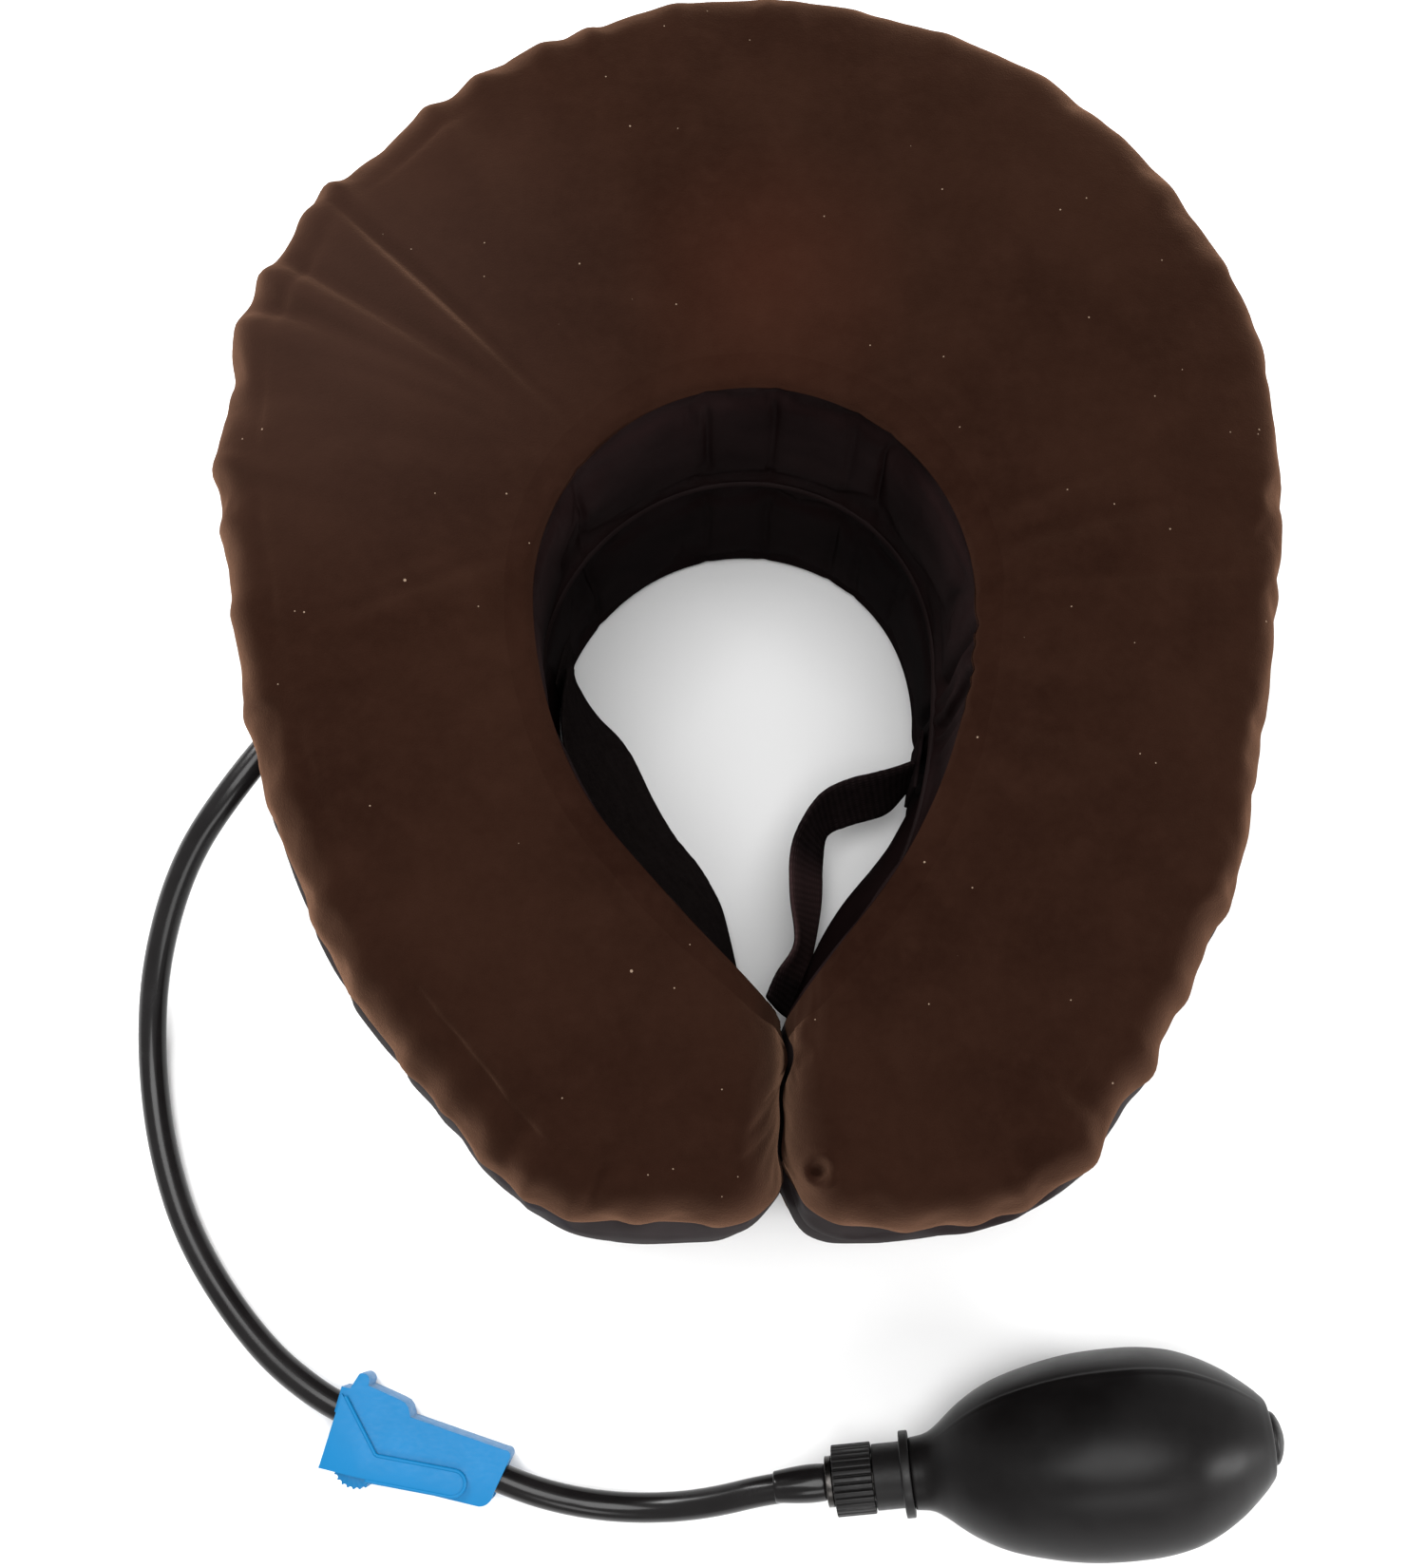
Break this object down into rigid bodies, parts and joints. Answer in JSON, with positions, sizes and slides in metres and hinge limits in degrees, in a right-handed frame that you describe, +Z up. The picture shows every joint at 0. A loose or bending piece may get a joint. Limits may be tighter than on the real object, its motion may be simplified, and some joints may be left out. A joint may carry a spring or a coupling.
{
  "type": "inflatable cervical traction collar",
  "caption": "Horseshoe-shaped inflatable neck traction collar in dark velvet with hook-and-loop straps, an air hose, a roller clamp and a rubber hand bulb.",
  "frame": {"origin": "centre of the neck opening, on the surface that the collar stands on", "axes": "+Z up through the neck opening, -Y towards the front slit and the straps, +X to the wearer's left as seen from above with the slit at the bottom"},
  "size_m": [0.2845, 0.3635, 0.125],
  "materials": {
    "velvet": "short dark brown velvet pile",
    "wall_nylon": "satin nylon, purple-black",
    "lining_nylon": "satin nylon, brown-black",
    "bladder_film": "smooth welded film",
    "piping": "folded nylon tape",
    "loop_webbing": "fuzzy looped pile, black",
    "hook_webbing": "woven webbing, purple-black",
    "port_plastic": "smooth moulded plastic, black",
    "hose_rubber": "smooth glossy black",
    "clamp_blue": "satin moulded plastic, light blue",
    "valve_plastic": "satin moulded plastic, black",
    "valve_metal": "turned metal",
    "seal_rubber": "soft rubber, black",
    "bulb_rubber": "matte moulded rubber, black"
  },
  "bodies": {
    "collar_base": {"bottom_velvet_panel": "velvet", "lower_outer_wall": "wall_nylon", "lower_inner_lining": "lining_nylon", "lower_bladder": "bladder_film", "loop_strap": "loop_webbing", "hook_strap": "hook_webbing", "loop_strap_patch": "loop_webbing", "hook_strap_patch": "hook_webbing", "hose_port": "port_plastic", "port_eyelet": "port_plastic", "hose_collar_run": "hose_rubber", "hose_in_clamp": "hose_rubber", "hose_bulb_run": "hose_rubber", "clamp_body": "clamp_blue", "valve_stem": "valve_metal", "stem_seal_ring": "seal_rubber", "neck_fitting": "valve_plastic", "outlet_valve_seat": "valve_plastic", "bulb_shell": "bulb_rubber", "intake_valve_cap": "valve_plastic", "intake_cage": "valve_plastic"},
    "collar_seam": {"outer_seam_piping": "piping", "inner_seam_piping": "piping", "air_transfer_port": "port_plastic"},
    "collar_top": {"upper_inner_lining": "lining_nylon", "upper_outer_wall": "wall_nylon", "upper_bladder": "bladder_film", "top_velvet_panel": "velvet"},
    "roller_carriage": {"roller_axle": "clamp_blue"},
    "roller_wheel": {"clamp_roller": "clamp_blue"},
    "vent_nut": {"release_nut": "valve_plastic"},
    "outlet_disc": {"outlet_check_disc": "seal_rubber"},
    "intake_disc": {"intake_check_disc": "seal_rubber"}
  },
  "joints": [
    {"name": "lower_tier_inflation", "type": "slide", "parent": "collar_base", "child": "collar_seam", "axis": [0, 0, 1], "range_m": [-0.03, 0], "stiffness_N_per_m": 1500, "springref_m": 0.02, "deforming": ["lower_outer_wall", "lower_inner_lining", "lower_bladder"]},
    {"name": "upper_tier_inflation", "type": "slide", "parent": "collar_seam", "child": "collar_top", "axis": [0, 0, 1], "range_m": [-0.03, 0], "deforming": ["upper_outer_wall", "upper_inner_lining", "upper_bladder"]},
    {"name": "roller_slide", "type": "slide", "parent": "collar_base", "child": "roller_carriage", "axis": [0.9841, -0.1778, 0], "range_m": [0, 0.0242], "deforming": ["hose_in_clamp"]},
    {"name": "roller_spin", "type": "hinge", "parent": "roller_carriage", "child": "roller_wheel", "pos_m": [-0.09586, -0.18722, 0.0074], "axis": [0, 0, 1], "range_deg": [0, 231.19]},
    {"name": "release_nut_turn", "type": "hinge", "parent": "collar_base", "child": "vent_nut", "pos_m": [0.021, -0.1905, 0.01895], "axis": [0.9891, 0.104, 0.1045], "range_deg": [0, 180]},
    {"name": "outlet_disc_lift", "type": "slide", "parent": "collar_base", "child": "outlet_disc", "axis": [-0.9891, -0.104, -0.1045], "range_m": [0, 0.0015], "stiffness_N_per_m": 5, "springref_m": -0.001},
    {"name": "intake_disc_lift", "type": "slide", "parent": "collar_base", "child": "intake_disc", "axis": [-0.9891, -0.104, -0.1045], "range_m": [0, 0.0015], "stiffness_N_per_m": 5, "springref_m": -0.001}
  ],
  "couplings": [
    {"joint": "upper_tier_inflation", "follows": "lower_tier_inflation", "ratio": 1},
    {"joint": "roller_spin", "follows": "roller_slide", "rad_per_m": 166.67}
  ]
}
